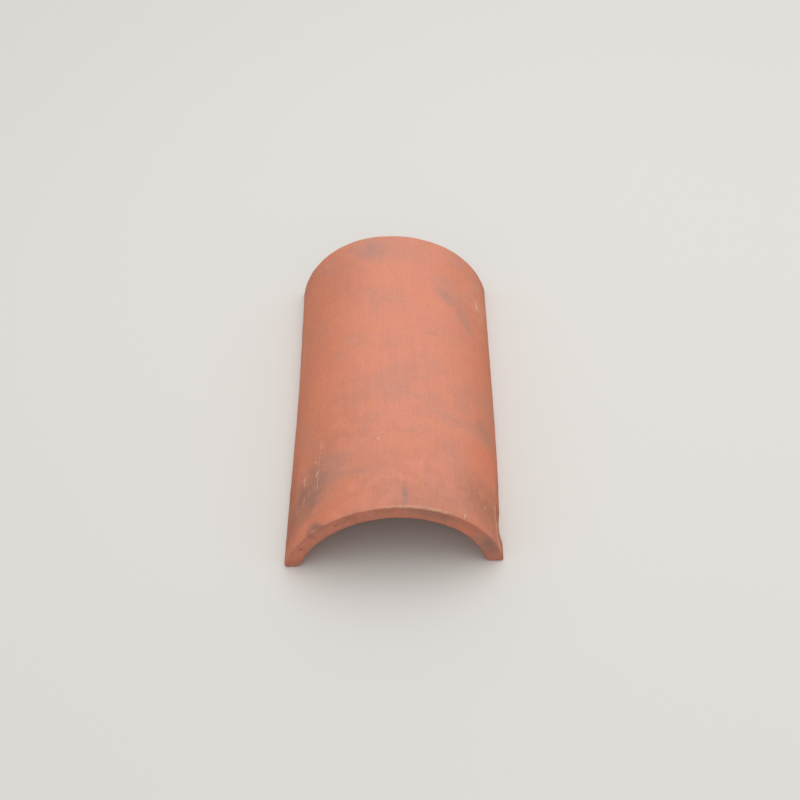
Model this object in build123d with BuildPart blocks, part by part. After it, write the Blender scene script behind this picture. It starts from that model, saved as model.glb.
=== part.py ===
"""Half-round clay ridge tile: one extruded, wire-cut and fired arch, lying on its two feet.

Frame: origin on the floor under the middle of the tile, X across the arch,
Y along its length, Z up to the crown. Millimetres.
"""

import os

from build123d import *

# Driving dimensions of the tile
tile_length = 457.0  # along the ridge, 18 in
tile_width = 247.0  # across the outer edges of the feet, before they are eased
tile_rise = 100.0  # from the floor to the outside of the crown
wall = 18.5  # fired clay thickness, measured square to the arch
arris = 1.5  # easing of every edge, from handling the clay while it was soft

# The outside of the arch is one arc through the two feet and the crown
half_width = tile_width / 2
outer_radius = (half_width**2 + tile_rise**2) / (2 * tile_rise)
centre_height = tile_rise - outer_radius

# The inside is the same arc, one wall further in, cut off level at the floor
inner_radius = outer_radius - wall
inner_rise = tile_rise - wall
inner_half_width = (inner_radius**2 - centre_height**2) ** 0.5

with BuildPart() as ridge_tile:
    # Section of the arch, closed by a level cut under each foot
    with BuildSketch(Plane.XZ):
        with BuildLine():
            ThreePointArc((-half_width, 0), (0, tile_rise), (half_width, 0))
            Line((half_width, 0), (inner_half_width, 0))
            ThreePointArc((inner_half_width, 0), (0, inner_rise), (-inner_half_width, 0))
            Line((-inner_half_width, 0), (-half_width, 0))
        make_face()

    # The column of clay is pushed through the die and cut square at both ends
    extrude(amount=tile_length / 2, both=True)

    # Every edge is eased: the long edges of the feet and the outline of both ends
    long_edges = ridge_tile.edges().filter_by(Axis.Y)
    front_outline = ridge_tile.faces().sort_by(Axis.Y)[0].edges()
    back_outline = ridge_tile.faces().sort_by(Axis.Y)[-1].edges()
    fillet(long_edges + front_outline + back_outline, radius=arris)

ridge_tile.part.label = "ridge_tile"

os.makedirs("parts", exist_ok=True)
export_step(ridge_tile.part, "parts/ridge_tile.step")
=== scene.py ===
"""Reclaimed clay ridge tile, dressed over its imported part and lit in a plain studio.

Metres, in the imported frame: X across the arch, Y along the tile from its front end to
its back end, Z up from the floor. A place on the clay is given unrolled: around is the
arc length from the crown line on the outside, to the right as seen from the front,
from_front is the distance from the front end, and depth is below the outside.
"""

import logging
import math
import random
from collections.abc import Callable, Iterable
from dataclasses import dataclass
from enum import Enum

import bmesh
import bpy
from mathutils import Matrix, Vector


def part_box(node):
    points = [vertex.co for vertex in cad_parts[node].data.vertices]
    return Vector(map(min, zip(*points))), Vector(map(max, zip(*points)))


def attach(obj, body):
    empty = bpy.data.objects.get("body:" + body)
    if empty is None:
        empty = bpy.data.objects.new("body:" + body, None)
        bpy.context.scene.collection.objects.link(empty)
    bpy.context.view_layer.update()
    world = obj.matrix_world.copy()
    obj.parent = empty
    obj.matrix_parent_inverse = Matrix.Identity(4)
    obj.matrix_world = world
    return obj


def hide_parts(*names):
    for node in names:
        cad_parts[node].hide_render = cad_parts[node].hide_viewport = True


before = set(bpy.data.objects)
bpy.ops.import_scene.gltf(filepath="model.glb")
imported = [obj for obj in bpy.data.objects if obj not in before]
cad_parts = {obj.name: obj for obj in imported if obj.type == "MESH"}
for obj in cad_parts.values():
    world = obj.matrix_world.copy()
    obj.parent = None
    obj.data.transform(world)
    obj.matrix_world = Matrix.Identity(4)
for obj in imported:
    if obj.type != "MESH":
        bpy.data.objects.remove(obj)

NODE = "ridge_tile"
BODY = "root"
SLOT = "fired_clay"
PIECE = "weathered_ridge_tile"
BROKEN = "broken"
SOFT_PLACE = "soft_place"
FLOAT = "NodeSocketFloat"
VECTOR = "NodeSocketVector"
NOISE_MIDDLE = 0.5

log = logging.getLogger("ridge_tile")

Socket = bpy.types.NodeSocket
Feed = Socket | float | tuple[float, ...]
Colour = tuple[int, int, int]


class Tint(Enum):
    """What marks the clay, with the colour that it has by daylight; some patches in these tints are painted
    highlight, sheen and shade.
    """

    EMBER = (228, 132, 97)
    # Grey kiln flash, also laid on as painted sheen
    FLASH = (168, 138, 127)
    # Earth brown, also laid on as painted shade
    EARTH = (128, 92, 74)
    SOOT = (112, 84, 71)
    # Pale wear, also laid on as painted highlight and sheen
    WORN = (232, 180, 150)
    BLOOM = (242, 216, 196)


class Zone(Enum):
    """The vertices that a layer of relief is limited to."""

    ALL = ""
    ARRISES = "arrises"


class Part(Enum):
    """The parts of a mesh that can be picked in edit mode."""

    VERTEX = "VERT"
    EDGE = "EDGE"


class Side(Enum):
    """Sides of the tile as seen from its front."""

    LEFT = -1
    MIDDLE = 0
    RIGHT = 1


class End(Enum):
    """Places along the tile, from its front end to its back end."""

    FRONT = -1
    HALFWAY = 0
    BACK = 1


class Level(Enum):
    """Heights on the tile."""

    FLOOR = -1
    CROWN = 1


@dataclass(frozen=True)
class Arch:
    """Section and length of the tile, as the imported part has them."""

    length: float
    rise: float
    sharp_width: float = 0.247
    wall: float = 0.0185
    arris: float = 0.0015

    @classmethod
    def from_frame(cls) -> "Arch":
        """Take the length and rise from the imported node."""
        low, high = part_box(NODE)
        return cls(length=high.y - low.y, rise=high.z - low.z)

    @property
    def half_width(self) -> float:
        """Half the width across the feet, before their edges are eased."""
        return self.sharp_width / 2

    @property
    def outer_radius(self) -> float:
        """Radius of the outside, an arc through both feet and the crown."""
        return (self.half_width**2 + self.rise**2) / (2 * self.rise)

    @property
    def inner_radius(self) -> float:
        """Radius of the inside, one wall further in."""
        return self.outer_radius - self.wall

    @property
    def centre_height(self) -> float:
        """Height of the arcs' centre, which lies below the floor."""
        return self.rise - self.outer_radius

    @property
    def half_round(self) -> float:
        """Arc length on the outside from the crown line to a foot."""
        return self.outer_radius * self.foot_angle(self.outer_radius)

    def foot_angle(self, radius: float) -> float:
        """Angle from the crown down to the floor on an arc of this radius."""
        return math.acos(-self.centre_height / radius)

    def outward(self, around: float) -> Vector:
        """Direction square to the outside at a place around the arch."""
        angle = around / self.outer_radius
        return Vector((math.sin(angle), 0.0, math.cos(angle)))

    def point(self, around: float, from_front: float, depth: float) -> Vector:
        """Turn an unrolled place into a point of the frame.

        Args:
            around: Arc length from the crown line on the outside.
            from_front: Distance from the front end.
            depth: Depth below the outside.

        Returns:
            The point, on the tile before it is racked.
        """
        point = self.outward(around) * (self.outer_radius - depth)
        point.y = from_front - self.length / 2
        point.z += self.centre_height
        return point

    def arris_distance(self, point: Vector) -> float:
        """Measure how far a point of the surface is from the nearest edge.

        Args:
            point: A point on the tile before it is racked.

        Returns:
            The distance.
        """
        reach = math.hypot(point.x, point.z - self.centre_height)
        depth = self.outer_radius - reach
        to_face = min(abs(depth), abs(self.wall - depth))
        to_end = self.length / 2 - abs(point.y)
        to_floor = point.z
        return min(max(to_end, to_face), max(to_floor, to_face), max(to_end, to_floor))


@dataclass(frozen=True)
class Pull:
    """How far one corner of the block that the soft tile fills moved across, along and up."""

    side: Side
    end: End
    level: Level
    across: float
    along: float
    up: float = 0.0

    @property
    def corner(self) -> tuple[int, int, int]:
        """The corner's place in the block, as signs of its coordinates."""
        return self.side.value, self.end.value, self.level.value


@dataclass(frozen=True)
class Relief:
    """One layer of relief pressed into the clay as a cloud pattern, as far in as out."""

    name: str
    size: tuple[float, float, float]
    height: float
    octaves: int
    zone: Zone = Zone.ALL


@dataclass(frozen=True)
class Chip:
    """A flake broken out of the clay, cut away as a rough lens.

    facing is the lens's axis: round the arch, to the front and outward. The long side lies
    round the arch until turn_degrees swings it about that axis.
    """

    around: float
    from_front: float
    depth: float
    half_length: float
    half_width: float
    bite: float
    facing: tuple[float, float, float]
    turn_degrees: float = 0.0


@dataclass(frozen=True)
class Nicks:
    """Small knocks from stacking, scattered along the edges of both ends."""

    count: int = 14
    seed: int = 11
    least_length: float = 0.0012
    most_length: float = 0.0030
    width_share: float = 0.55
    bite_share: float = 0.30
    reach_share: float = 0.95

    def scatter(self, arch: Arch) -> list[Chip]:
        """Draw the nicks for one tile.

        Args:
            arch: Section and length of the tile.

        Returns:
            The nicks, as small flakes.
        """
        draws = random.Random(self.seed)
        chips = []
        for _ in range(self.count):
            around = arch.half_round * self.reach_share * draws.uniform(-1.0, 1.0)
            to_front, outward = draws.choice((-1.0, 1.0)), draws.choice((-1.0, 1.0))
            half_length = draws.uniform(self.least_length, self.most_length)
            from_front = 0.0 if to_front > 0 else arch.length
            depth = 0.0 if outward > 0 else arch.wall
            half_width, bite = half_length * self.width_share, half_length * self.bite_share
            chip = Chip(around, from_front, depth, half_length, half_width, bite, (0.0, to_front, outward))
            chips.append(chip)
        return chips


@dataclass(frozen=True)
class SoftPatch:
    """A soft-edged patch on the clay.

    evenness is the least share of the tint between the patch's blotches, and swing_share
    says how ragged its edge is.
    """

    around: float
    from_front: float
    half_round: float
    half_along: float
    strength: float
    turn_degrees: float = 0.0
    depth: float = 0.0
    half_depth: float = 0.008
    evenness: float = 0.35
    swing_share: float = 1.2

    @property
    def swing(self) -> float:
        """How far the swirl may carry the patch's edge."""
        return self.swing_share * min(self.half_round, self.half_along)

    @property
    def swirl_size(self) -> float:
        """The size of swirl that suits the patch best."""
        return min(SWIRL_SIZES, key=lambda size: abs(math.log(size / self.swing)))


@dataclass(frozen=True)
class Scratch:
    """A pale scrape across the outside, from one place to another."""

    start: tuple[float, float]
    stop: tuple[float, float]
    width: float
    strength: float


@dataclass(frozen=True)
class Grain:
    """A noise layer of the clay, with how far it shades the colour and how high it stands."""

    size: float
    detail: float
    shading: float
    height: float
    stretch: float = 1.0


@dataclass(frozen=True)
class Blotches:
    """Soft noise that a layer shows through, from none of it at none to its strength at full."""

    size: float
    detail: float
    none: float
    full: float
    strength: float = 1.0


@dataclass(frozen=True)
class Specks:
    """Small specks of one colour, at most one to a cell, in a share of the cells."""

    colour: Colour
    cell: float
    radius: float
    share: float
    strength: float


# Sizes of the swirls that patches share
SWIRL_SIZES = (0.003, 0.008, 0.016, 0.030, 0.060)

# How the soft clay leaned, spread and was cut out of square: across, along, up
RACKING = (
    Pull(Side.LEFT, End.FRONT, Level.FLOOR, -0.0015, -0.0035),
    Pull(Side.MIDDLE, End.FRONT, Level.FLOOR, -0.0008, -0.0024),
    Pull(Side.RIGHT, End.FRONT, Level.FLOOR, 0.0, -0.0012),
    Pull(Side.LEFT, End.FRONT, Level.CROWN, 0.0069, 0.0),
    Pull(Side.MIDDLE, End.FRONT, Level.CROWN, 0.0069, 0.0004),
    Pull(Side.RIGHT, End.FRONT, Level.CROWN, 0.0069, 0.0008),
    Pull(Side.LEFT, End.HALFWAY, Level.FLOOR, 0.0008, -0.0012),
    Pull(Side.MIDDLE, End.HALFWAY, Level.FLOOR, 0.0004, -0.0012),
    Pull(Side.RIGHT, End.HALFWAY, Level.FLOOR, 0.0013, -0.0009),
    Pull(Side.LEFT, End.HALFWAY, Level.CROWN, 0.0022, 0.0006, 0.0004),
    Pull(Side.MIDDLE, End.HALFWAY, Level.CROWN, 0.0028, -0.0003),
    Pull(Side.RIGHT, End.HALFWAY, Level.CROWN, 0.0028, 0.0001, 0.0008),
    Pull(Side.LEFT, End.BACK, Level.FLOOR, -0.0022, 0.0011),
    Pull(Side.MIDDLE, End.BACK, Level.FLOOR, -0.0011, 0.0),
    Pull(Side.RIGHT, End.BACK, Level.FLOOR, 0.0, -0.0006),
    Pull(Side.LEFT, End.BACK, Level.CROWN, -0.0060, 0.0011, 0.0008),
    Pull(Side.MIDDLE, End.BACK, Level.CROWN, -0.0038, -0.0009),
    Pull(Side.RIGHT, End.BACK, Level.CROWN, -0.0038, -0.0006, 0.0017),
)

# Unevenness from the die, the drying rack and hands
RELIEF = (
    Relief("sagging", (0.090, 0.140, 0.090), 0.0014, 0),
    Relief("handling", (0.022, 0.030, 0.022), 0.0005, 1),
    Relief("die_lines", (0.0052, 0.400, 0.0052), 0.00014, 0),
    Relief("worn_arrises", (0.013, 0.013, 0.013), 0.0008, 2, Zone.ARRISES),
)
BREAK_RELIEF = Relief("break", (0.0050, 0.0050, 0.0050), 0.0012, 2)
FLAKE_RELIEF = Relief("flake", (0.0160, 0.0160, 0.0160), 0.0013, 3)

# Flakes that show: around, from_front, depth, half_length, half_width, bite, facing, turn_degrees
CHIPS = (
    Chip(-0.099, 0.0045, 0.0, 0.0120, 0.0045, 0.0006, (0.0, 0.4, 1.0), -28),
    Chip(0.081, 0.004, 0.0, 0.0030, 0.0026, 0.0007, (0.0, 0.4, 0.9)),
    Chip(0.157, 0.046, 0.0, 0.0220, 0.0340, 0.0024, (0.12, 0.0, 1.0), 90),
    Chip(0.161, 0.075, 0.0, 0.0340, 0.0280, 0.0008, (0.08, 0.0, 1.0), 90),
    Chip(0.166, 0.0, 0.0, 0.0120, 0.0045, 0.0013, (0.0, 0.6, 0.8)),
    Chip(-0.1719, 0.0, 0.0, 0.0080, 0.0080, 0.0036, (-0.6, 0.4, 0.6)),
    Chip(-0.1673, 0.0, 0.0185, 0.0090, 0.0120, 0.0033, (-0.4, 0.25, -0.9)),
    Chip(0.1673, 0.0, 0.0185, 0.0080, 0.0120, 0.0028, (0.4, 0.25, -0.9)),
    Chip(-0.1338, 0.0, 0.0080, 0.0021, 0.0019, 0.0011, (0.0, 1.0, 0.0)),
    Chip(-0.0737, 0.0, 0.0088, 0.0017, 0.0013, 0.0010, (0.0, 1.0, 0.0)),
)

# Patches of each tint, marks on the clay and some painted light and shade: around, from_front, half_round,
# half_along, strength, turn_degrees
MARKS_AND_PAINTED_LIGHT = {
    Tint.EMBER: (
        SoftPatch(-0.085, 0.280, 0.060, 0.026, 0.55),
        SoftPatch(0.128, 0.116, 0.050, 0.024, 0.60, -12),
        SoftPatch(-0.085, 0.018, 0.075, 0.024, 0.45),
        SoftPatch(0.085, 0.095, 0.070, 0.040, 0.35),
        SoftPatch(0.085, 0.402, 0.050, 0.024, 0.35),
    ),
    Tint.FLASH: (
        SoftPatch(-0.022, 0.432, 0.042, 0.046, 0.66, evenness=0.8, swing_share=0.5),
        SoftPatch(-0.030, 0.430, 0.065, 0.045, 0.32, evenness=0.7),
        SoftPatch(0.075, 0.356, 0.028, 0.018, 0.56, 40, evenness=0.8, swing_share=0.5),
        SoftPatch(0.103, 0.330, 0.034, 0.017, 0.56, 48, evenness=0.8, swing_share=0.5),
        SoftPatch(0.091, 0.348, 0.062, 0.026, 0.18, 40, evenness=0.6),
        SoftPatch(0.020, 0.425, 0.055, 0.045, 0.24, evenness=0.9, swing_share=0.6),
        SoftPatch(0.015, 0.185, 0.120, 0.056, 0.30, evenness=0.7),
        SoftPatch(0.066, 0.216, 0.018, 0.011, 0.28),
        SoftPatch(0.092, 0.188, 0.038, 0.042, 0.32, evenness=0.6),
        SoftPatch(0.072, 0.141, 0.052, 0.017, 0.40, evenness=0.5),
        SoftPatch(0.006, 0.112, 0.040, 0.007, 0.22),
        SoftPatch(0.0095, 0.014, 0.0065, 0.030, 0.85, evenness=0.6, swing_share=0.8),
        SoftPatch(0.138, 0.158, 0.030, 0.024, 0.52, evenness=0.6, swing_share=0.8),
        SoftPatch(0.118, 0.153, 0.034, 0.024, 0.40, evenness=0.6),
        SoftPatch(-0.105, 0.066, 0.052, 0.068, 0.70, 32, evenness=0.75, swing_share=0.5),
        SoftPatch(-0.075, 0.067, 0.030, 0.026, 0.50, evenness=0.6, swing_share=0.7),
        SoftPatch(-0.045, 0.057, 0.036, 0.012, 0.40),
        SoftPatch(0.047, 0.276, 0.018, 0.009, 0.18),
        SoftPatch(-0.130, 0.156, 0.024, 0.024, 0.28),
        SoftPatch(0.000, 0.456, 0.160, 0.045, 0.25),
        SoftPatch(0.080, 0.030, 0.070, 0.036, 0.25, evenness=0.85),
        SoftPatch(0.136, 0.000, 0.042, 0.006, 0.70, depth=0.009, half_depth=0.016, evenness=0.7),
        SoftPatch(0.158, 0.030, 0.016, 0.050, 0.36, evenness=0.7, swing_share=0.6),
        SoftPatch(0.042, 0.000, 0.052, 0.006, 0.45, depth=0.007, half_depth=0.014, evenness=0.7),
        # Paler and greyer on both sides at the back end: painted sheen
        SoftPatch(-0.125, 0.440, 0.050, 0.045, 0.32, evenness=0.7),
        SoftPatch(0.145, 0.440, 0.035, 0.040, 0.32, evenness=0.7),
        SoftPatch(-0.0980, 0.0045, 0.0190, 0.0110, 0.45, 28, evenness=0.95, swing_share=0.2),
    ),
    Tint.EARTH: (
        SoftPatch(-0.114, 0.058, 0.060, 0.062, 0.50, 32, evenness=0.8, swing_share=0.5),
        # Darker down the left side near the front: grey-brown marks, and painted shade where the side gets
        # less light than towards the back
        SoftPatch(-0.148, 0.040, 0.048, 0.062, 0.46, evenness=0.85, swing_share=0.5),
        SoftPatch(-0.154, 0.075, 0.034, 0.100, 0.44, evenness=0.75, swing_share=0.5),
        # Broad darkening over the front of the outside
        SoftPatch(0.000, 0.020, 0.300, 0.140, 0.17, evenness=0.97, swing_share=0.3),
        SoftPatch(0.128, 0.158, 0.036, 0.022, 0.16),
        SoftPatch(-0.066, 0.120, 0.070, 0.105, 0.15, evenness=0.9, swing_share=0.6),
        SoftPatch(-0.062, 0.385, 0.052, 0.105, 0.14, evenness=0.9, swing_share=0.6),
        # Darker near the front end, on the right side and across the top
        SoftPatch(0.122, 0.038, 0.090, 0.070, 0.40, evenness=0.95, swing_share=0.3),
        SoftPatch(0.020, 0.000, 0.170, 0.062, 0.26, evenness=0.95, swing_share=0.4),
        # Darker low on the left side near the front: painted shade together with the grey-brown marks
        SoftPatch(-0.160, 0.060, 0.014, 0.080, 0.40),
        SoftPatch(-0.1338, 0.001, 0.0026, 0.004, 0.50, depth=0.0080, half_depth=0.0026, evenness=0.9),
    ),
    Tint.SOOT: (
        SoftPatch(-0.0975, 0.0052, 0.0175, 0.0085, 0.36, 28, evenness=0.95, swing_share=0.2),
        SoftPatch(-0.1068, 0.0035, 0.0066, 0.0130, 0.42, depth=0.0025, half_depth=0.012, evenness=0.95),
        SoftPatch(-0.054, 0.000, 0.010, 0.004, 0.30, depth=0.006),
        SoftPatch(0.050, 0.000, 0.045, 0.004, 0.20, depth=0.006, evenness=0.6),
        SoftPatch(0.137, 0.000, 0.018, 0.004, 0.28, depth=0.006, half_depth=0.012, evenness=0.6),
    ),
    Tint.WORN: (
        # Paler on both sides towards the back end: painted sheen
        SoftPatch(-0.156, 0.330, 0.034, 0.120, 0.24, evenness=0.7, swing_share=0.6),
        SoftPatch(0.140, 0.395, 0.048, 0.085, 0.34, evenness=0.7, swing_share=0.6),
        # Pale line on the front outer edge near the crown: painted highlight
        SoftPatch(0.020, 0.000, 0.070, 0.004, 0.75, half_depth=0.003),
        SoftPatch(0.1440, 0.038, 0.0056, 0.034, 0.75, -3, evenness=0.6, swing_share=0.9),
        SoftPatch(0.1490, 0.010, 0.0056, 0.018, 0.75, -32, evenness=0.6, swing_share=0.9),
        SoftPatch(-0.125, 0.000, 0.052, 0.004, 0.60, depth=0.0185, half_depth=0.003),
        # Pale band along the bottom edge of the left foot's front: painted highlight
        SoftPatch(-0.170, 0.000, 0.006, 0.004, 0.50, depth=0.009, half_depth=0.014),
    ),
    Tint.BLOOM: (
        SoftPatch(-0.0185, 0.1007, 0.0030, 0.0032, 0.38, swing_share=0.8),
        SoftPatch(0.081, 0.005, 0.0036, 0.0042, 0.75, swing_share=0.8),
        SoftPatch(0.117, 0.035, 0.0040, 0.0045, 0.24, swing_share=0.8),
        SoftPatch(0.133, 0.381, 0.0030, 0.0120, 0.70, -12, evenness=0.6, swing_share=0.6),
    ),
}

# Scrapes on the outside: start and stop as around and from_front, width, strength
SCRATCHES = (
    Scratch((-0.0930, 0.128), (-0.0968, 0.058), 0.0010, 0.60),
    Scratch((-0.0972, 0.083), (-0.0990, 0.077), 0.0018, 0.75),
    Scratch((-0.0890, 0.124), (-0.0925, 0.114), 0.0015, 0.55),
    Scratch((-0.1060, 0.103), (-0.0985, 0.098), 0.0012, 0.50),
    Scratch((-0.1222, 0.089), (-0.1204, 0.077), 0.0021, 0.95),
    Scratch((-0.1195, 0.059), (-0.1205, 0.049), 0.0015, 0.65),
    Scratch((0.1336, 0.390), (0.1310, 0.374), 0.0014, 0.60),
    Scratch((0.1483, 0.388), (0.1450, 0.360), 0.0009, 0.40),
    Scratch((-0.1120, 0.444), (-0.1080, 0.436), 0.0014, 0.40),
)


def linear(red: int, green: int, blue: int) -> tuple[float, float, float, float]:
    """Turn a colour as the eye reads it into the shader's linear values.

    Args:
        red: Red from 0 to 255.
        green: Green from 0 to 255.
        blue: Blue from 0 to 255.

    Returns:
        Linear red, green, blue and an alpha of 1.
    """
    toe, toe_slope, lift, gamma, full = 0.04045, 12.92, 0.055, 2.4, 255
    channels = []
    for value in (red, green, blue):
        share = value / full
        if share <= toe:
            channels.append(share / toe_slope)
        else:
            channels.append(((share + lift) / (1 + lift)) ** gamma)
    return (*channels, 1.0)


def show_only(piece: bpy.types.Object) -> None:
    """Make one object the only selected and active one.

    Args:
        piece: The object.
    """
    bpy.ops.object.select_all(action="DESELECT")
    piece.select_set(True)
    bpy.context.view_layer.objects.active = piece


def pick(piece: bpy.types.Object, part: Part, wanted: Callable[[object], bool]) -> None:
    """Select the vertices or edges of the mesh in edit mode that pass a test.

    Args:
        piece: The object in edit mode.
        part: What is picked.
        wanted: Test of one bmesh element.
    """
    bpy.ops.mesh.select_mode(type=part.value)
    bpy.ops.mesh.select_all(action="DESELECT")
    mesh = bmesh.from_edit_mesh(piece.data)
    elements = {Part.VERTEX: mesh.verts, Part.EDGE: mesh.edges}[part]
    for element in elements:
        if wanted(element):
            element.select_set(True)
    mesh.select_flush_mode()
    bmesh.update_edit_mesh(piece.data)


def apply_modifier(piece: bpy.types.Object, modifier: bpy.types.Modifier) -> None:
    """Apply one modifier to its mesh."""
    show_only(piece)
    bpy.ops.object.modifier_apply(modifier=modifier.name)


def press_clouds(piece: bpy.types.Object, layer: Relief) -> None:
    """Press a cloud pattern into a mesh.

    Args:
        piece: The mesh object.
        layer: Size along each axis and height of the pattern, and where it is limited to.
    """
    bpy.ops.object.empty_add()
    ruler = bpy.context.active_object
    ruler.scale = layer.size
    bpy.context.view_layer.update()
    clouds = bpy.data.textures.new(layer.name, "CLOUDS")
    clouds.noise_scale = 1.0
    clouds.noise_depth = layer.octaves
    modifier = piece.modifiers.new(layer.name, "DISPLACE")
    modifier.texture = clouds
    modifier.texture_coords = "OBJECT"
    modifier.texture_coords_object = ruler
    modifier.direction = "NORMAL"
    modifier.strength = layer.height
    modifier.vertex_group = layer.zone.value
    apply_modifier(piece, modifier)
    bpy.data.objects.remove(ruler)
    bpy.data.textures.remove(clouds)


def mark_broken(piece: bpy.types.Object, share: float) -> None:
    """Say on every face of a mesh how far it is a broken surface.

    Args:
        piece: The mesh object.
        share: 1 for a broken surface and 0 for an old one.
    """
    faces = piece.data.polygons
    layer = piece.data.attributes.new(name=BROKEN, type="FLOAT", domain="FACE")
    layer.data.foreach_set("value", [share] * len(faces))


class NodeSheet:
    """Short calls that add nodes to one tree and join them."""

    def __init__(self, tree: bpy.types.NodeTree) -> None:
        """Keep the tree that nodes are added to."""
        self.tree = tree

    def add(self, kind: str, **settings: object) -> bpy.types.Node:
        """Add a node and set its own settings.

        Args:
            kind: The kind of node.
            settings: Values of the node's own properties.

        Returns:
            The node.
        """
        node = self.tree.nodes.new(kind)
        for name, value in settings.items():
            setattr(node, name, value)
        return node

    def feed(self, socket: Socket, value: Feed) -> None:
        """Join an output to an input, or set the input to a constant.

        Args:
            socket: The input.
            value: The output or the constant.
        """
        if isinstance(value, Socket):
            self.tree.links.new(value, socket)
        else:
            socket.default_value = value

    def make(self, kind: str, values: Iterable[Feed], **settings: object) -> Socket:
        """Add a node and feed the inputs that it uses, in order.

        Args:
            kind: The kind of node.
            values: What goes into the inputs.
            settings: Values of the node's own properties.

        Returns:
            The first output that the node uses.
        """
        node = self.add(kind, **settings)
        used = [socket for socket in node.inputs if socket.enabled]
        for socket, value in zip(used, values):
            self.feed(socket, value)
        return next(socket for socket in node.outputs if socket.enabled)

    def sum(self, operation: str, *values: Feed) -> Socket:
        """Work out a sum of values, such as "ADD" or "MAXIMUM"."""
        return self.make("ShaderNodeMath", values, operation=operation)

    def vector(self, operation: str, *values: Feed) -> Socket:
        """Work out a sum of vectors, or a value of theirs, such as "LENGTH"."""
        return self.make("ShaderNodeVectorMath", values, operation=operation)

    def triple(self, x: Feed, y: Feed, z: Feed) -> Socket:
        """Join three values into a vector."""
        return self.make("ShaderNodeCombineXYZ", (x, y, z))

    def split(self, kind: str, whole: Socket) -> bpy.types.NodeOutputs:
        """Take a vector or a colour apart with this kind of node."""
        return self.make(kind, (whole,)).node.outputs

    def fade(self, value: Feed, start: float, stop: float, low: Feed = 0.0, high: Feed = 1.0) -> Socket:
        """Ease from low, where the value is at start, to high, where it is at stop."""
        values = (value, start, stop, low, high)
        return self.make("ShaderNodeMapRange", values, interpolation_type="SMOOTHSTEP")

    def blend(self, share: Feed, under: Feed, over: Feed) -> Socket:
        """Lay one colour over another by a share."""
        return self.make("ShaderNodeMix", (share, under, over), data_type="RGBA")

    def shade(self, colour: Feed, factor: Feed) -> Socket:
        """Make a colour lighter or darker, or a vector longer or shorter, by a factor."""
        return self.make("ShaderNodeVectorMath", (colour, factor), operation="SCALE")

    def noise(self, place: Feed, size: float, detail: float) -> Socket:
        """Make soft noise from 0 to 1, with features of about this size."""
        return self.make("ShaderNodeTexNoise", (place, 1 / size, detail))

    def swing(self, noise: Socket) -> Socket:
        """How far a noise lies above or below its middle."""
        return self.sum("SUBTRACT", noise, NOISE_MIDDLE)


class NodeGroup(NodeSheet):
    """A shader node group with named inputs and outputs."""

    def __init__(self, name: str, inputs: dict[str, str], outputs: dict[str, str]) -> None:
        """Make the group and its sockets.

        Args:
            name: The group's name.
            inputs: Kind of socket for each input's name.
            outputs: Kind of socket for each output's name.
        """
        super().__init__(bpy.data.node_groups.new(name, "ShaderNodeTree"))
        for way, sockets in (("INPUT", inputs), ("OUTPUT", outputs)):
            for socket, kind in sockets.items():
                self.tree.interface.new_socket(name=socket, in_out=way, socket_type=kind)
        self.given = self.add("NodeGroupInput").outputs
        self.result = self.add("NodeGroupOutput").inputs

    def give(self, results: dict[str, Socket]) -> None:
        """Join what the group gives to its outputs, by the outputs' names."""
        for name, result in results.items():
            self.feed(self.result[name], result)

    def place_in(self, sheet: NodeSheet, values: dict[str, Feed]) -> bpy.types.Node:
        """Put the group into another tree.

        Args:
            sheet: The tree that it goes into.
            values: What goes into each input, by the input's name.

        Returns:
            The group's node.
        """
        node = sheet.add("ShaderNodeGroup", node_tree=self.tree)
        for name, value in values.items():
            sheet.feed(node.inputs[name], value)
        return node


def unrolled_place_group(arch: Arch) -> NodeGroup:
    """Make the group that turns a point of the tile before it was racked into its unrolled place.

    Args:
        arch: Section and length of the tile.

    Returns:
        The group.
    """
    outputs = {"Place": VECTOR, "Around": FLOAT, "From front": FLOAT, "Depth": FLOAT}
    group = NodeGroup("Unrolled place", {"Point": VECTOR}, outputs)
    across, along, height = group.split("ShaderNodeSeparateXYZ", group.given["Point"])
    up = group.sum("SUBTRACT", height, arch.centre_height)
    around = group.sum("MULTIPLY", group.sum("ARCTAN2", across, up), arch.outer_radius)
    reach = group.vector("LENGTH", group.triple(across, up, 0.0))
    depth = group.sum("SUBTRACT", arch.outer_radius, reach)
    from_front = group.sum("ADD", along, arch.length / 2)
    place = group.triple(around, from_front, depth)
    group.give({"Place": place, "Around": around, "From front": from_front, "Depth": depth})
    return group


def arris_group(arch: Arch) -> NodeGroup:
    """Make the group that gives the distance of a point on the clay from the nearest edge.

    Args:
        arch: Section and length of the tile.

    Returns:
        The group.
    """
    inputs = {"Point": VECTOR, "From front": FLOAT, "Depth": FLOAT}
    group = NodeGroup("Arris distance", inputs, {"Distance": FLOAT, "To end": FLOAT, "Height": FLOAT})
    to_floor = group.split("ShaderNodeSeparateXYZ", group.given["Point"])["Z"]
    from_back = group.sum("SUBTRACT", arch.length, group.given["From front"])
    to_end = group.sum("MINIMUM", group.given["From front"], from_back)
    to_inside = group.sum("SUBTRACT", arch.wall, group.given["Depth"])
    to_face = group.sum("MINIMUM", group.given["Depth"], to_inside)
    at_end = group.sum("MAXIMUM", to_end, to_face)
    at_foot = group.sum("MAXIMUM", to_floor, to_face)
    at_sole = group.sum("MAXIMUM", to_floor, to_end)
    nearest = group.sum("MINIMUM", group.sum("MINIMUM", at_end, at_foot), at_sole)
    group.give({"Distance": nearest, "To end": to_end, "Height": to_floor})
    return group


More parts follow.
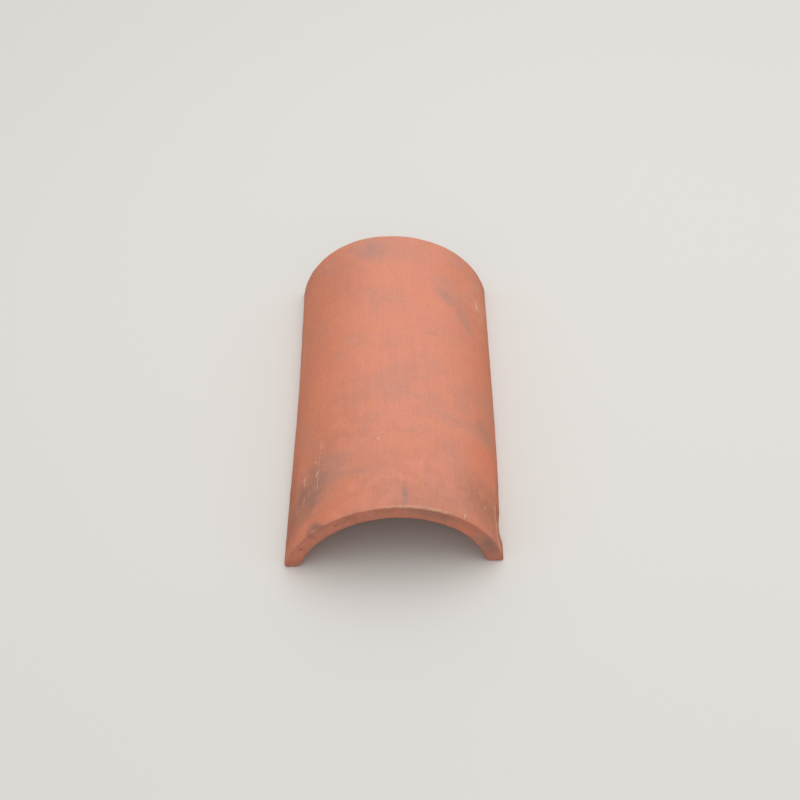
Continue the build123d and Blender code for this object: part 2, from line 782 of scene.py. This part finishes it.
def swirl_group() -> NodeGroup:
    """Make the group that gives a patch its ragged drift and its blotches.

    Returns:
        The group.
    """
    group = NodeGroup("Swirl", {"Place": VECTOR, "Size": FLOAT}, {"Drift": VECTOR, "Blotch": FLOAT})
    detail, blotch_low, blotch_high = 4.0, 0.34, 0.62
    near = group.shade(group.given["Place"], group.sum("DIVIDE", 1.0, group.given["Size"]))
    noise = group.noise(near, 1.0, detail)
    channels = group.split("ShaderNodeSeparateColor", noise.node.outputs["Color"])
    drift = group.triple(*(group.swing(channel) for channel in channels))
    blotch = group.fade(noise, blotch_low, blotch_high)
    group.give({"Drift": drift, "Blotch": blotch})
    return group


def patch_group() -> NodeGroup:
    """Make the group that masks one ragged, blotchy patch of the clay.

    Returns:
        The group.
    """
    inputs = {"Place": VECTOR, "Drift": VECTOR, "Blotch": FLOAT, "Swing": FLOAT}
    inputs |= {"Middle": VECTOR, "Halves": VECTOR, "Turn": FLOAT, "Evenness": FLOAT}
    group = NodeGroup("Patch", inputs, {"Mask": FLOAT})
    given = group.given
    drift = group.shade(given["Drift"], given["Swing"])
    drifted = group.vector("ADD", given["Place"], drift)
    offset = group.vector("SUBTRACT", drifted, given["Middle"])
    pivot = (0.0, 0.0, 0.0)
    turned = group.make("ShaderNodeVectorRotate", (offset, pivot, given["Turn"]), rotation_type="Z_AXIS")
    shares = group.vector("DIVIDE", turned, given["Halves"])
    reach = group.vector("LENGTH", shares)
    soft = group.fade(reach, 0.0, 1.0, 1.0, 0.0)
    blotch = group.fade(given["Blotch"], 0.0, 1.0, given["Evenness"], 1.0)
    group.give({"Mask": group.sum("MULTIPLY", soft, blotch)})
    return group


def scratch_group() -> NodeGroup:
    """Make the group that masks one thin, broken scrape between two places.

    Returns:
        The group.
    """
    inputs = {"Place": VECTOR, "Skips": FLOAT, "Start": VECTOR, "Run": VECTOR, "Width": FLOAT}
    group = NodeGroup("Scratch", inputs, {"Mask": FLOAT})
    given = group.given
    core_share = 0.2
    offset = group.vector("SUBTRACT", given["Place"], given["Start"])
    along = group.vector("DOT_PRODUCT", offset, given["Run"])
    whole = group.vector("DOT_PRODUCT", given["Run"], given["Run"])
    share = group.sum("MINIMUM", group.sum("MAXIMUM", group.sum("DIVIDE", along, whole), 0.0), 1.0)
    off_line = group.vector("SUBTRACT", offset, group.shade(given["Run"], share))
    gap = group.vector("LENGTH", off_line)
    line = group.fade(group.sum("DIVIDE", gap, given["Width"]), core_share, 1.0, 1.0, 0.0)
    group.give({"Mask": group.sum("MULTIPLY", line, given["Skips"])})
    return group


def speck_group() -> NodeGroup:
    """Make the group that masks small scattered specks, one to a cell, in some of the cells.

    Returns:
        The group.
    """
    inputs = {"Place": VECTOR, "Cell": FLOAT, "Radius": FLOAT, "Share": FLOAT}
    group = NodeGroup("Specks", inputs, {"Mask": FLOAT})
    given = group.given
    soft_share = 0.55
    near = group.shade(given["Place"], group.sum("DIVIDE", 1.0, given["Cell"]))
    off_middle = group.make("ShaderNodeTexVoronoi", (near, 1.0))
    draws = group.split("ShaderNodeSeparateColor", off_middle.node.outputs["Color"])
    chosen = group.sum("LESS_THAN", draws["Red"], given["Share"])
    largest = group.sum("DIVIDE", given["Radius"], given["Cell"])
    size = group.sum("MULTIPLY", largest, draws["Green"])
    gap = group.sum("DIVIDE", off_middle, size)
    dot = group.fade(gap, soft_share, 1.0, 1.0, 0.0)
    group.give({"Mask": group.sum("MULTIPLY", dot, chosen)})
    return group


@dataclass(frozen=True)
class ClayFinish:
    """Unglazed terracotta, kiln-flashed and weathered: its colours and the grain of its surface."""

    body: Colour = (215, 134, 105)
    rosy: Colour = (221, 144, 120)
    deep: Colour = (178, 104, 78)
    ashen: Colour = (190, 150, 134)
    flushed: Colour = (228, 138, 106)
    pink: Colour = (222, 143, 130)
    buff: Colour = (216, 150, 112)
    fresh: Colour = (205, 128, 100)
    clouds: Grain = Grain(0.060, 4.0, 0.15, 0.0)
    mottle: Grain = Grain(0.014, 4.0, 0.15, 0.00025)
    drag: Grain = Grain(0.0036, 4.0, 0.12, 0.00006, stretch=40.0)
    sand: Grain = Grain(0.0024, 2.0, 0.29, 0.00012)
    edge_patches: Blotches = Blotches(0.030, 3.0, 0.46, 0.62, 0.32)
    skips: Blotches = Blotches(0.006, 3.0, 0.36, 0.55)
    pores: Blotches = Blotches(0.018, 5.0, 0.45, 0.72, 0.15)
    grit: Specks = Specks(deep, 0.0075, 0.0012, 0.45, 0.55)
    lime: Specks = Specks(Tint.BLOOM.value, 0.0140, 0.0010, 0.25, 0.45)
    pits: Specks = Specks(Tint.SOOT.value, 0.0160, 0.0010, 0.40, 0.50)
    roughness: float = 0.88
    roughness_swing: float = 0.12
    specular: float = 0.25

    @property
    def grains(self) -> dict[str, Grain]:
        """The grain of the surface, from broad to fine."""
        return {"clouds": self.clouds, "mottle": self.mottle, "drag": self.drag, "sand": self.sand}


class ClayPaint:
    """Builds the clay material step by step, from the body of the clay out to its marks and the painted
    light and shade among them.
    """

    def __init__(self, finish: ClayFinish, arch: Arch) -> None:
        """Start the material and the places that its patterns read.

        Args:
            finish: Colours and grain.
            arch: Section and length of the tile.
        """
        self.finish = finish
        self.arch = arch
        self.material = bpy.data.materials.new(SLOT)
        self.material.use_nodes = True
        self.sheet = NodeSheet(self.material.node_tree)
        self.shader = self.material.node_tree.nodes["Principled BSDF"]
        point = self.sheet.add("ShaderNodeAttribute", attribute_name=SOFT_PLACE).outputs["Vector"]
        unrolled = unrolled_place_group(arch).place_in(self.sheet, {"Point": point})
        self.place, self.around, self.from_front, self.depth = unrolled.outputs
        places = {"Point": point, "From front": self.from_front, "Depth": self.depth}
        edges = arris_group(arch).place_in(self.sheet, places)
        self.to_arris, self.to_end, self.height = edges.outputs
        cut_face, cut_reach = 0.0008, 0.0022
        self.at_end = self.sheet.fade(self.to_end, cut_face, cut_reach, 1.0, 0.0)
        swirl = swirl_group()
        self.swirls = {}
        for size in SWIRL_SIZES:
            node = swirl.place_in(self.sheet, {"Place": self.place, "Size": size})
            self.swirls[size] = (node.outputs["Drift"], node.outputs["Blotch"])
        self.grains = {name: self.grain_noise(grain) for name, grain in finish.grains.items()}

    def grain_noise(self, grain: Grain) -> Socket:
        """Noise of one grain layer, drawn out along the tile by its stretch."""
        place = self.sheet.vector("MULTIPLY", self.place, (1.0, 1 / grain.stretch, 1.0))
        return self.sheet.noise(place, grain.size, grain.detail)

    def blotch_share(self, blotches: Blotches) -> Socket:
        """How far a layer shows through its blotches at each point."""
        noise = self.sheet.noise(self.place, blotches.size, blotches.detail)
        return self.sheet.fade(noise, blotches.none, blotches.full, 0.0, blotches.strength)

    def strongest(self, masks: Iterable[tuple[Socket, float]]) -> Socket:
        """Weigh masks by their strengths and keep the strongest one at each point.

        Args:
            masks: Each mask with its strength.

        Returns:
            The strongest share.
        """
        share = 0.0
        for mask, strength in masks:
            weighed = self.sheet.sum("MULTIPLY", mask, strength)
            share = self.sheet.sum("MAXIMUM", weighed, share)
        return share

    def grain_sum(self, share_name: str, start: float) -> Socket:
        """Add up one share of every grain layer.

        Args:
            share_name: Field of Grain that weighs its noise.
            start: What the sum starts from.

        Returns:
            The start, with each noise about its middle added to it.
        """
        total = start
        for name, grain in self.finish.grains.items():
            swing = self.sheet.swing(self.grains[name])
            total = self.sheet.sum("MULTIPLY_ADD", swing, getattr(grain, share_name), total)
        return total

    def body_colour(self) -> Socket:
        """Mix the fired body: rosy along the crown, with the kiln's clouds of grey and red.

        Returns:
            Its colour.
        """
        sheet, finish = self.sheet, self.finish
        crown_shift, crown_core, crown_rim = 0.022, 0.030, 0.125
        outside_depth, inside_depth, rosy_end = 0.004, 0.012, 0.9
        deep_low, deep_high, deep_most = 0.54, 0.80, 0.12
        cloud_low, cloud_high, cloud_most = 0.30, 0.70, 0.24
        blush_size, blush_detail = 0.011, 2.0
        blush_low, blush_high, blush_most = 0.32, 0.68, 0.30
        off_crown = sheet.sum("ABSOLUTE", sheet.sum("SUBTRACT", self.around, crown_shift))
        crown = sheet.fade(off_crown, crown_core, crown_rim, 1.0, 0.0)
        outside = sheet.fade(self.depth, outside_depth, inside_depth, 1.0, 0.0)
        crown = sheet.sum("MULTIPLY", crown, outside)
        rosy_share = sheet.sum("MAXIMUM", crown, sheet.sum("MULTIPLY", self.at_end, rosy_end))
        colour = sheet.blend(rosy_share, linear(*finish.body), linear(*finish.rosy))
        blush = sheet.noise(self.place, blush_size, blush_detail)
        clouds = self.grains["clouds"]
        layers = (
            (self.grains["mottle"], deep_low, deep_high, deep_most, finish.deep),
            (blush, NOISE_MIDDLE, blush_low, blush_most, finish.buff),
            (blush, NOISE_MIDDLE, blush_high, blush_most, finish.pink),
            (clouds, NOISE_MIDDLE, cloud_low, cloud_most, finish.ashen),
            (clouds, NOISE_MIDDLE, cloud_high, cloud_most, finish.flushed),
        )
        for noise, none, full, most, tint in layers:
            colour = sheet.blend(sheet.fade(noise, none, full, 0.0, most), colour, linear(*tint))
        return colour

    def patched(self, colour: Socket, patches_by_tint: dict[Tint, tuple[SoftPatch, ...]]) -> Socket:
        """Lay the patches over a colour, one tint after the other: marks on the clay, and some painted
        light and shade.

        Args:
            colour: The colour so far.
            patches_by_tint: The patches of each tint.

        Returns:
            The stained colour.
        """
        group = patch_group()
        for tint, patches in patches_by_tint.items():
            share = self.strongest((self.patch_mask(group, soft_patch), soft_patch.strength) for soft_patch in patches)
            colour = self.sheet.blend(share, colour, linear(*tint.value))
        return colour

    def patch_mask(self, group: NodeGroup, soft_patch: SoftPatch) -> Socket:
        """Mask one patch.

        Args:
            group: The group that makes patches.
            soft_patch: The patch.

        Returns:
            The mask.
        """
        drift, blotch = self.swirls[soft_patch.swirl_size]
        values = {
            "Place": self.place,
            "Drift": drift,
            "Blotch": blotch,
            "Swing": soft_patch.swing,
            "Middle": (soft_patch.around, soft_patch.from_front, soft_patch.depth),
            "Halves": (soft_patch.half_round, soft_patch.half_along, soft_patch.half_depth),
            "Turn": math.radians(soft_patch.turn_degrees),
            "Evenness": soft_patch.evenness,
        }
        return group.place_in(self.sheet, values).outputs["Mask"]

    def scratch_share(self, scratches: Iterable[Scratch]) -> Socket:
        """Find how far each point is scraped pale.

        Args:
            scratches: The scrapes.

        Returns:
            The share of pale clay.
        """
        group = scratch_group()
        skips = self.blotch_share(self.finish.skips)
        masks = ((self.scratch_mask(group, skips, scratch), scratch.strength) for scratch in scratches)
        return self.strongest(masks)

    def scratch_mask(self, group: NodeGroup, skips: Socket, scratch: Scratch) -> Socket:
        """Mask one scratch.

        Args:
            group: The group that makes scratches.
            skips: Where the scrape bites and where it skips.
            scratch: The scrape.

        Returns:
            The mask.
        """
        (around, from_front), (stop_around, stop_from_front) = scratch.start, scratch.stop
        values = {
            "Place": self.place,
            "Skips": skips,
            "Start": (around, from_front, 0.0),
            "Run": (stop_around - around, stop_from_front - from_front, 0.0),
            "Width": scratch.width,
        }
        return group.place_in(self.sheet, values).outputs["Mask"]

    def wear_and_highlight_share(self) -> Socket:
        """Find how far each point is pale along the arrises, most of all near the crown: worn edges, with a
        painted highlight where the crown's edge catches the light.

        Returns:
            The share of pale clay: worn, and painted highlight near the crown.
        """
        sheet = self.sheet
        wander, band_core, band_reach = 0.004, 0.0004, 0.0026
        crown_shift, crown_reach, crown_end, least = 0.024, 0.040, 0.070, 0.1
        swing = sheet.swing(self.grains["mottle"])
        reach = sheet.sum("MULTIPLY_ADD", swing, wander, self.to_arris)
        edge_band = sheet.fade(reach, band_core, band_reach, 1.0, 0.0)
        where = self.blotch_share(self.finish.edge_patches)
        # Painted highlight: the pale band stays strongest near the crown, where the edge catches the light
        off_crown = sheet.sum("ABSOLUTE", sheet.sum("SUBTRACT", self.around, crown_shift))
        crown = sheet.fade(off_crown, crown_reach, crown_end, 1.0, least)
        return sheet.sum("MULTIPLY", sheet.sum("MULTIPLY", edge_band, where), crown)

    def darkened(self, colour: Socket) -> Socket:
        """Lay soot in the pores of the cut ends, blotches of earth brown towards the floor, and darken the
        inside.

        Args:
            colour: The colour so far.

        Returns:
            The darkened colour.
        """
        sheet, arch = self.sheet, self.arch
        floor_band, floor_low, floor_high, floor_most = 0.022, 0.40, 0.62, 0.22
        start_share, stop_share, inside_tone = 0.7, 0.95, 0.92
        pores = self.blotch_share(self.finish.pores)
        colour = sheet.blend(sheet.sum("MULTIPLY", self.at_end, pores), colour, linear(*Tint.SOOT.value))
        # Earth-brown blotches, darker towards the floor
        at_foot = sheet.fade(self.height, 0.0, floor_band, 1.0, 0.0)
        floor_blotches = sheet.fade(self.grains["clouds"], floor_low, floor_high, 0.0, floor_most)
        colour = sheet.blend(sheet.sum("MULTIPLY", at_foot, floor_blotches), colour, linear(*Tint.EARTH.value))
        tone = sheet.fade(self.depth, start_share * arch.wall, stop_share * arch.wall, 1.0, inside_tone)
        return sheet.shade(colour, tone)

    def specked(self, colour: Socket) -> tuple[Socket, Socket]:
        """Scatter dark grit, pale lime and small pits over a colour.

        Args:
            colour: The colour so far.

        Returns:
            The specked colour and the mask of the pits.
        """
        sheet, finish = self.sheet, self.finish
        group = speck_group()
        for specks in (finish.grit, finish.lime, finish.pits):
            values = {"Cell": specks.cell, "Radius": specks.radius, "Share": specks.share}
            mask = group.place_in(sheet, {"Place": self.place, **values}).outputs["Mask"]
            share = sheet.sum("MULTIPLY", mask, specks.strength)
            colour = sheet.blend(share, colour, linear(*specks.colour))
        return colour, mask

    def paint(
        self, patches_by_tint: dict[Tint, tuple[SoftPatch, ...]], scratches: Iterable[Scratch]
    ) -> bpy.types.Material:
        """Join all layers into the finished material.

        Args:
            patches_by_tint: Patches on the clay, by tint, some of them painted light and shade.
            scratches: Pale scrapes on the outside.

        Returns:
            The material.
        """
        sheet, finish = self.sheet, self.finish
        pit_depth, scratch_depth, broken_most = 0.0004, 0.00025, 0.85
        broken = sheet.add("ShaderNodeAttribute", attribute_name=BROKEN).outputs["Fac"]
        fresh_share = sheet.sum("MULTIPLY", broken, broken_most)
        colour = sheet.blend(fresh_share, self.body_colour(), linear(*finish.fresh))
        colour = self.patched(colour, patches_by_tint)
        colour = self.darkened(colour)
        # Pale edges: wear, with a painted highlight near the crown
        colour = sheet.blend(self.wear_and_highlight_share(), colour, linear(*Tint.WORN.value))
        colour, pits = self.specked(colour)
        scraped = self.scratch_share(scratches)
        colour = sheet.shade(colour, self.grain_sum("shading", 1.0))
        colour = sheet.blend(scraped, colour, linear(*Tint.WORN.value))
        sheet.feed(self.shader.inputs["Base Color"], colour)
        swing = sheet.swing(self.grains["mottle"])
        roughness = sheet.sum("MULTIPLY_ADD", swing, finish.roughness_swing, finish.roughness)
        sheet.feed(self.shader.inputs["Roughness"], roughness)
        self.shader.inputs["Specular IOR Level"].default_value = finish.specular
        height = self.grain_sum("height", 0.0)
        height = sheet.sum("MULTIPLY_ADD", pits, -pit_depth, height)
        height = sheet.sum("MULTIPLY_ADD", scraped, -scratch_depth, height)
        bump = sheet.add("ShaderNodeBump")
        bump.inputs["Distance"].default_value = 1.0
        sheet.feed(bump.inputs["Height"], height)
        sheet.feed(self.shader.inputs["Normal"], bump.outputs["Normal"])
        return self.material


@dataclass
class RidgeTile:
    """The tile: an arch pushed through a die, cut, racked, fired, worn and chipped."""

    arch: Arch
    finish: ClayFinish
    nicks: Nicks
    racking: tuple[Pull, ...] = RACKING
    steps_round: int = 160
    cuts_along: tuple[int, int] = (99, 1)
    cuts_across_wall: int = 6
    arris_steps: int = 4
    foot_step_arrises: float = 2.0
    arris_zone: float = 0.004
    sharp_edge: float = math.radians(40)
    lens_detail: int = 4
    large_lens_detail: int = 5
    large_flake: float = 0.015
    lens_bites: float = 3.0

    def build(self) -> bpy.types.Object:
        """Model and dress the tile.

        Returns:
            The finished piece, placed in the frame.
        """
        self.draw_section()
        self.push_through_die()
        self.ease_edges()
        self.cut_fine()
        self.wear()
        self.break_flakes()
        self.note_places()
        self.rack()
        self.level_soles()
        self.smooth()
        paint = ClayPaint(self.finish, self.arch)
        self.piece.data.materials.clear()
        self.piece.data.materials.append(paint.paint(MARKS_AND_PAINTED_LIGHT, SCRATCHES))
        return self.piece

    def draw_section(self) -> None:
        """Spin one point into the outer arc and one into the inner arc, then bridge them."""
        arch = self.arch
        front = -arch.length / 2
        bpy.ops.object.select_all(action="DESELECT")
        bpy.ops.mesh.primitive_plane_add(size=arch.wall, location=(0.0, 0.0, 0.0))
        self.piece = bpy.context.active_object
        self.piece.name = PIECE
        self.piece.data.name = PIECE
        bpy.ops.object.mode_set(mode="EDIT")
        bpy.ops.mesh.select_mode(type=Part.VERTEX.value)
        bpy.ops.mesh.merge(type="CENTER")
        bpy.ops.transform.translate(value=(-arch.half_width, front, 0.0))
        self.spin_arc(arch.outer_radius)
        inner_half_width = arch.inner_radius * math.sin(arch.foot_angle(arch.inner_radius))
        left_foot = Vector((-arch.half_width, front, 0.0))
        pick(self.piece, Part.VERTEX, lambda vertex: (vertex.co - left_foot).length < arch.arris)
        inward = (arch.half_width - inner_half_width, 0.0, 0.0)
        bpy.ops.mesh.duplicate_move(TRANSFORM_OT_translate={"value": inward})
        self.spin_arc(arch.inner_radius)
        bpy.ops.mesh.select_mode(type=Part.EDGE.value)
        bpy.ops.mesh.select_all(action="SELECT")
        bpy.ops.mesh.bridge_edge_loops()

    def spin_arc(self, radius: float) -> None:
        """Spin the selected point over the crown, with room by each foot to ease its edge.

        Args:
            radius: Radius of the arc.
        """
        arch = self.arch
        centre = (0.0, -arch.length / 2, arch.centre_height)
        foot_step = self.foot_step_arrises * arch.arris / radius
        whole = 2 * arch.foot_angle(radius)
        for steps, angle in ((1, foot_step), (self.steps_round, whole - 2 * foot_step), (1, foot_step)):
            bpy.ops.mesh.spin(steps=steps, angle=angle, center=centre, axis=(0.0, -1.0, 0.0))

    def push_through_die(self) -> None:
        """Extrude the section to the tile's length."""
        bpy.ops.mesh.select_all(action="SELECT")
        bpy.ops.mesh.extrude_region_move(TRANSFORM_OT_translate={"value": (0.0, self.arch.length, 0.0)})
        bpy.ops.mesh.select_all(action="SELECT")
        bpy.ops.mesh.normals_make_consistent(inside=False)

    def ease_edges(self) -> None:
        """Round every arris: the long edges of the feet and the outline of both ends."""
        bpy.ops.mesh.select_all(action="DESELECT")
        bpy.ops.mesh.edges_select_sharp(sharpness=self.sharp_edge)
        bpy.ops.mesh.bevel(offset=self.arch.arris, segments=self.arris_steps, affect="EDGES")

    def cut_fine(self) -> None:
        """Cut the long faces, the ends and the feet into small squares for the relief."""
        arch = self.arch
        for cuts in self.cuts_along:
            pick(self.piece, Part.EDGE, self.runs_along)
            bpy.ops.mesh.subdivide(number_cuts=cuts)
        mid_wall = Vector((0.0, -arch.length / 2, arch.rise - arch.wall / 2))
        mesh = bmesh.from_edit_mesh(self.piece.data)
        seed = min(mesh.edges, key=lambda edge: sum((vertex.co - mid_wall).length for vertex in edge.verts))
        seed_ends = {vertex.index for vertex in seed.verts}
        pick(self.piece, Part.EDGE, lambda edge: {vertex.index for vertex in edge.verts} == seed_ends)
        bpy.ops.mesh.loop_multi_select(ring=True)
        bpy.ops.mesh.subdivide(number_cuts=self.cuts_across_wall)
        bpy.ops.object.mode_set(mode="OBJECT")

    def runs_along(self, edge: bmesh.types.BMEdge) -> bool:
        """Tell whether an edge runs lengthwise between the eased ends.

        Args:
            edge: An edge of the tile.

        Returns:
            True where it does.
        """
        straight, flat_end = 0.999, self.arch.length / 2 - self.arch.arris / 2
        one, other = (vertex.co for vertex in edge.verts)
        lengthwise = abs((other - one).normalized().y) > straight
        return lengthwise and max(abs(one.y), abs(other.y)) < flat_end

    def wear(self) -> None:
        """Press the relief of making, handling and age into the surface."""
        zone = self.piece.vertex_groups.new(name=Zone.ARRISES.value)
        for vertex in self.piece.data.vertices:
            share = 1 - self.arch.arris_distance(vertex.co) / self.arris_zone
            if share > 0:
                zone.add([vertex.index], share, "REPLACE")
        for layer in RELIEF:
            press_clouds(self.piece, layer)
        self.piece.vertex_groups.clear()

    def break_flakes(self) -> None:
        """Cut the flakes out of the arrises and faces, and mark what they leave as broken."""
        mark_broken(self.piece, 0.0)
        for chip in (*CHIPS, *self.nicks.scatter(self.arch)):
            lens = self.make_lens(chip)
            press_clouds(lens, FLAKE_RELIEF if self.is_large(chip) else BREAK_RELIEF)
            mark_broken(lens, 1.0)
            self.cut_away(lens)

    def is_large(self, chip: Chip) -> bool:
        """Tell whether a flake is large enough for a finer lens and a gentler break."""
        return chip.half_length > self.large_flake

    def make_lens(self, chip: Chip) -> bpy.types.Object:
        """Model the lens of air that a flake leaves behind.

        Args:
            chip: Place, size and axis of the flake.

        Returns:
            The cutter, placed on the tile before it is racked.
        """
        arch = self.arch
        thick = self.lens_bites * chip.bite
        spread = 1 / math.sqrt(1 - ((thick - chip.bite) / thick) ** 2)
        outward = arch.outward(chip.around)
        to_front = Vector((0.0, -1.0, 0.0))
        clockwise = outward.cross(to_front)
        round_share, front_share, out_share = chip.facing
        axis = (clockwise * round_share + to_front * front_share + outward * out_share).normalized()
        long_side = (clockwise - axis * clockwise.dot(axis)).normalized()
        frame_turn = Matrix((long_side, axis.cross(long_side), axis)).transposed().to_4x4()
        middle = arch.point(chip.around, chip.from_front, chip.depth) + axis * (thick - chip.bite)
        bpy.ops.object.select_all(action="DESELECT")
        detail = self.large_lens_detail if self.is_large(chip) else self.lens_detail
        bpy.ops.mesh.primitive_ico_sphere_add(subdivisions=detail, radius=1.0)
        lens = bpy.context.active_object
        size = Matrix.Diagonal((chip.half_length * spread, chip.half_width * spread, thick, 1.0))
        turn = Matrix.Rotation(math.radians(chip.turn_degrees), 4, "Z")
        lens.matrix_world = Matrix.Translation(middle) @ frame_turn @ turn @ size
        bpy.ops.object.transform_apply(location=True, rotation=True, scale=True)
        return lens

    def cut_away(self, cutter: bpy.types.Object) -> None:
        """Cut a closed mesh out of the tile and remove it.

        Args:
            cutter: The mesh object.
        """
        modifier = self.piece.modifiers.new("flake", "BOOLEAN")
        modifier.operation = "DIFFERENCE"
        modifier.solver = "MANIFOLD"
        modifier.object = cutter
        apply_modifier(self.piece, modifier)
        bpy.data.objects.remove(cutter)

    def note_places(self) -> None:
        """Write down where each vertex is before the clay moves, for the finish to read."""
        mesh = self.piece.data
        places = [part for vertex in mesh.vertices for part in vertex.co]
        layer = mesh.attributes.new(name=SOFT_PLACE, type="FLOAT_VECTOR", domain="POINT")
        layer.data.foreach_set("vector", places)

    def rack(self) -> None:
        """Pull the tile out of true with a lattice, as the soft clay moved."""
        arch = self.arch
        bpy.ops.object.add(type="LATTICE", location=(0.0, 0.0, arch.rise / 2))
        cage = bpy.context.active_object
        cage.scale = (arch.sharp_width, arch.length, arch.rise)
        bpy.context.view_layer.update()
        cage.data.points_u = len(Side)
        cage.data.points_v = len(End)
        cage.data.interpolation_type_u = "KEY_LINEAR"
        cage.data.interpolation_type_v = "KEY_CATMULL_ROM"
        cage.data.interpolation_type_w = "KEY_LINEAR"
        pulls = {pull.corner: pull for pull in self.racking}
        for corner in cage.data.points:
            pull = pulls[tuple(round(2 * part) for part in corner.co)]
            shares = (pull.across / arch.sharp_width, pull.along / arch.length, pull.up / arch.rise)
            corner.co_deform += Vector(shares)
        modifier = self.piece.modifiers.new("racking", "LATTICE")
        modifier.object = cage
        apply_modifier(self.piece, modifier)
        bpy.data.objects.remove(cage)

    def level_soles(self) -> None:
        """Press what sags below the floor flat against it."""
        bpy.ops.object.mode_set(mode="EDIT")
        pick(self.piece, Part.VERTEX, lambda vertex: vertex.co.z < 0.0)
        bpy.ops.transform.resize(value=(1.0, 1.0, 0.0), center_override=(0.0, 0.0, 0.0))
        bpy.ops.object.mode_set(mode="OBJECT")

    def smooth(self) -> None:
        """Shade the tile smooth, with broken edges left crisp."""
        show_only(self.piece)
        bpy.ops.object.shade_smooth_by_angle(angle=self.sharp_edge)


@dataclass(frozen=True)
class Studio:
    """Plain pale floor and plain soft light."""

    floor_colour: Colour = (226, 223, 218)
    backdrop_colour: Colour = (255, 255, 255)
    bounce_colour: Colour = (168, 152, 138)
    backdrop_start: float = 0.9
    backdrop_full: float = 4.0
    floor_roughness: float = 0.9
    floor_half: float = 8.0
    softbox_side: float = 2.4
    softbox_place: tuple[float, float, float] = (0.38, 0.35, 2.2)
    softbox_power: float = 22.5
    ambient: float = 0.68

    def build(self) -> None:
        """Lay the floor, hang the softbox and set the ambient light."""
        self.lay_floor()
        self.hang_softbox()
        self.light_room()

    def light_room(self) -> None:
        """Light the room evenly from a white backdrop all round."""
        world = bpy.data.worlds.new("studio")
        bpy.context.scene.world = world
        world.use_nodes = True
        background = world.node_tree.nodes["Background"]
        background.inputs["Color"].default_value = linear(*self.backdrop_colour)
        background.inputs["Strength"].default_value = self.ambient

    def lay_floor(self) -> None:
        """Lay a pale floor that runs into the backdrop and throws a muted light back on the tile."""
        bpy.ops.object.select_all(action="DESELECT")
        bpy.ops.mesh.primitive_plane_add(size=2 * self.floor_half, location=(0.0, 0.0, 0.0))
        floor = bpy.context.active_object
        floor.name = "studio_floor"
        paint = bpy.data.materials.new("studio_floor")
        paint.use_nodes = True
        sheet = NodeSheet(paint.node_tree)
        shader = paint.node_tree.nodes["Principled BSDF"]
        rays = sheet.add("ShaderNodeLightPath").outputs
        seen = sheet.sum("MAXIMUM", rays["Is Camera Ray"], rays["Is Glossy Ray"])
        seen = sheet.sum("MAXIMUM", seen, rays["Is Transmission Ray"])
        place = sheet.add("ShaderNodeTexCoord").outputs["Object"]
        off_centre = sheet.vector("LENGTH", place)
        far = sheet.fade(off_centre, self.backdrop_start, self.backdrop_full)
        shown = sheet.blend(far, linear(*self.floor_colour), linear(*self.backdrop_colour))
        colour = sheet.blend(seen, linear(*self.bounce_colour), shown)
        sheet.feed(shader.inputs["Base Color"], colour)
        shader.inputs["Roughness"].default_value = self.floor_roughness
        floor.data.materials.append(paint)

    def hang_softbox(self) -> None:
        """Hang one large soft lamp over the tile."""
        bpy.ops.object.light_add(type="AREA", location=self.softbox_place)
        softbox = bpy.context.active_object
        softbox.name = "softbox"
        softbox.data.shape = "SQUARE"
        softbox.data.size = self.softbox_side
        softbox.data.energy = self.softbox_power
        down = -Vector(self.softbox_place)
        softbox.rotation_euler = down.to_track_quat("-Z", "Y").to_euler()


@dataclass(frozen=True)
class Viewpoint:
    """Camera at the photograph's viewing angle."""

    aim: tuple[float, float, float] = (0.0071, 0.0224, 0.0)
    swing: float = math.radians(2.52)
    climb: float = math.radians(46.85)
    roll: float = math.radians(-3.51)
    reach: float = 1.5448
    focal_pixels: float = 1215.9
    image_pixels: int = 800
    sensor_mm: float = 36.0

    def build(self) -> None:
        """Make the camera and set it as the scene's own."""
        level = math.cos(self.climb)
        back = Vector((math.sin(self.swing) * level, -math.cos(self.swing) * level, math.sin(self.climb)))
        right = back.cross(Vector((0.0, 0.0, -1.0))).normalized()
        up = back.cross(right)
        rolled_right = math.cos(self.roll) * right + math.sin(self.roll) * up
        rolled_up = math.cos(self.roll) * up - math.sin(self.roll) * right
        turn = Matrix((rolled_right, rolled_up, back)).transposed().to_4x4()
        bpy.ops.object.camera_add()
        camera = bpy.context.active_object
        camera.name = "viewpoint"
        camera.matrix_world = Matrix.Translation(Vector(self.aim) + back * self.reach) @ turn
        camera.data.sensor_width = self.sensor_mm
        camera.data.lens = self.focal_pixels * self.sensor_mm / self.image_pixels
        bpy.context.scene.camera = camera


def main() -> None:
    """Build the tile, the studio and the camera."""
    logging.basicConfig(level=logging.INFO, format="%(name)s: %(message)s")
    bpy.context.scene.view_settings.view_transform = "Standard"
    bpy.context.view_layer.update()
    arch = Arch.from_frame()
    tile = RidgeTile(arch=arch, finish=ClayFinish(), nicks=Nicks())
    piece = tile.build()
    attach(piece, BODY)
    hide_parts(NODE)
    log.info("%s has %d faces", piece.name, len(piece.data.polygons))
    Studio().build()
    log.info("studio floor and softbox are in place")
    Viewpoint().build()
    log.info("camera is in place")


if __name__ == "__main__":
    main()
